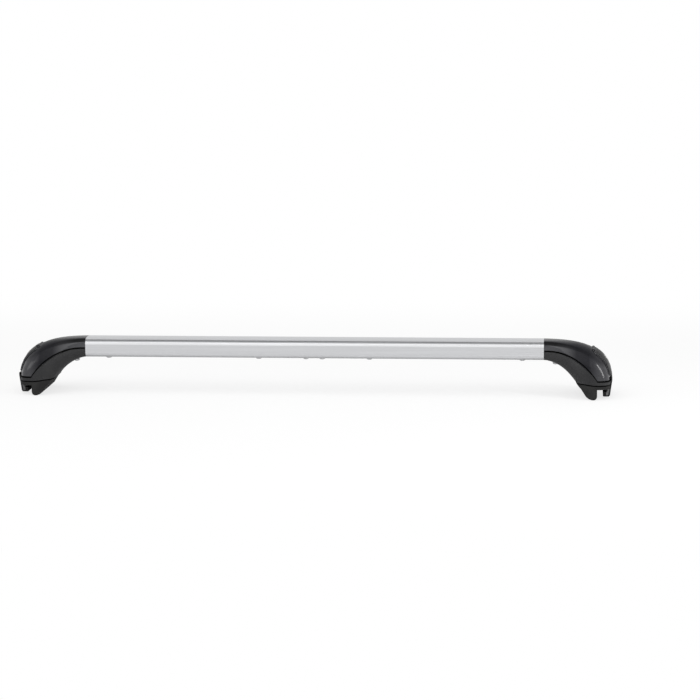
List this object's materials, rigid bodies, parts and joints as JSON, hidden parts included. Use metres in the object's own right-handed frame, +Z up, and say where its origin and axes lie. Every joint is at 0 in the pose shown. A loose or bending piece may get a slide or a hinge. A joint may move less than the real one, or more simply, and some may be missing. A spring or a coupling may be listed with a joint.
{
  "type": "roof rack crossbar",
  "caption": "Roof rack crossbar: two bolted aluminium tube halves on black moulded feet with screw-driven rail claws and hinged lockable end covers.",
  "frame": {"origin": "on the ground, under the middle of the bar, at the seam of its two halves", "axes": "+X along the bar, +Y across it, +Z up"},
  "size_m": [1.0236, 0.1004, 0.096],
  "materials": {
    "anodised_bar": "fine satin anodised, drawn lengthwise",
    "mill_aluminium": "as extruded",
    "cast_metal": "die cast",
    "zinc_steel": "zinc plated",
    "screw_steel": "satin stainless",
    "grained_plastic": "fine moulded grain",
    "gloss_plastic": "semi-gloss moulded",
    "rubber": "matt moulded rubber",
    "lock_metal": "nickel plated"
  },
  "bodies": {
    "crossbar": {"bar_left": "anodised_bar", "bar_right": "anodised_bar", "joiner": "mill_aluminium", "thread_strip": "zinc_steel", "joiner_screws": "screw_steel", "bar_end_screws": "screw_steel", "insert_left": "cast_metal", "insert_right": "cast_metal", "foot_screw_left": "screw_steel", "foot_screw_right": "screw_steel", "foot_base_left": "grained_plastic", "foot_base_right": "grained_plastic", "foot_cover_left": "gloss_plastic", "foot_cover_right": "gloss_plastic", "rail_pad_left": "rubber", "rail_pad_right": "rubber", "clamp_washer_left": "zinc_steel", "clamp_washer_right": "zinc_steel", "hinge_pin_left": "zinc_steel", "hinge_pin_right": "zinc_steel"},
    "claw_left": {"claw_left": "zinc_steel", "claw_shell_left": "grained_plastic", "claw_pad_left": "rubber", "clamp_nut_left": "zinc_steel"},
    "clamp_bolt_left": {"clamp_bolt_left": "screw_steel"},
    "end_cover_left": {"end_cover_left": "gloss_plastic"},
    "lock_left": {"lock_cylinder_left": "lock_metal", "lock_cam_left": "lock_metal"},
    "claw_right": {"claw_right": "zinc_steel", "claw_shell_right": "grained_plastic", "claw_pad_right": "rubber", "clamp_nut_right": "zinc_steel"},
    "clamp_bolt_right": {"clamp_bolt_right": "screw_steel"},
    "end_cover_right": {"end_cover_right": "gloss_plastic"},
    "lock_right": {"lock_cylinder_right": "lock_metal", "lock_cam_right": "lock_metal"}
  },
  "joints": [
    {"name": "claw_slide_left", "type": "slide", "parent": "crossbar", "child": "claw_left", "axis": [-1, 0, 0], "range_m": [0, 0.007]},
    {"name": "clamp_bolt_turn_left", "type": "hinge", "parent": "crossbar", "child": "clamp_bolt_left", "pos_m": [-0.46629, 0, 0.0458], "axis": [-1, 0, 0], "range_deg": [0, 2016]},
    {"name": "end_cover_hinge_left", "type": "hinge", "parent": "crossbar", "child": "end_cover_left", "pos_m": [-0.47956, 0, 0.07977], "axis": [0, 1, 0], "range_deg": [0, 90]},
    {"name": "lock_turn_left", "type": "hinge", "parent": "end_cover_left", "child": "lock_left", "pos_m": [-0.49911, 0, 0.06483], "axis": [-0.8184, 0, 0.5746], "range_deg": [0, 90]},
    {"name": "claw_slide_right", "type": "slide", "parent": "crossbar", "child": "claw_right", "axis": [1, 0, 0], "range_m": [0, 0.007]},
    {"name": "clamp_bolt_turn_right", "type": "hinge", "parent": "crossbar", "child": "clamp_bolt_right", "pos_m": [0.46629, 0, 0.0458], "axis": [1, 0, 0], "range_deg": [0, 2016]},
    {"name": "end_cover_hinge_right", "type": "hinge", "parent": "crossbar", "child": "end_cover_right", "pos_m": [0.47956, 0, 0.07977], "axis": [0, -1, 0], "range_deg": [0, 90]},
    {"name": "lock_turn_right", "type": "hinge", "parent": "end_cover_right", "child": "lock_right", "pos_m": [0.49911, 0, 0.06483], "axis": [0.8184, 0, 0.5746], "range_deg": [0, 90]}
  ],
  "couplings": [
    {"joint": "clamp_bolt_turn_left", "follows": "claw_slide_left", "rad_per_m": 5026.5},
    {"joint": "clamp_bolt_turn_right", "follows": "claw_slide_right", "rad_per_m": 5026.5}
  ]
}
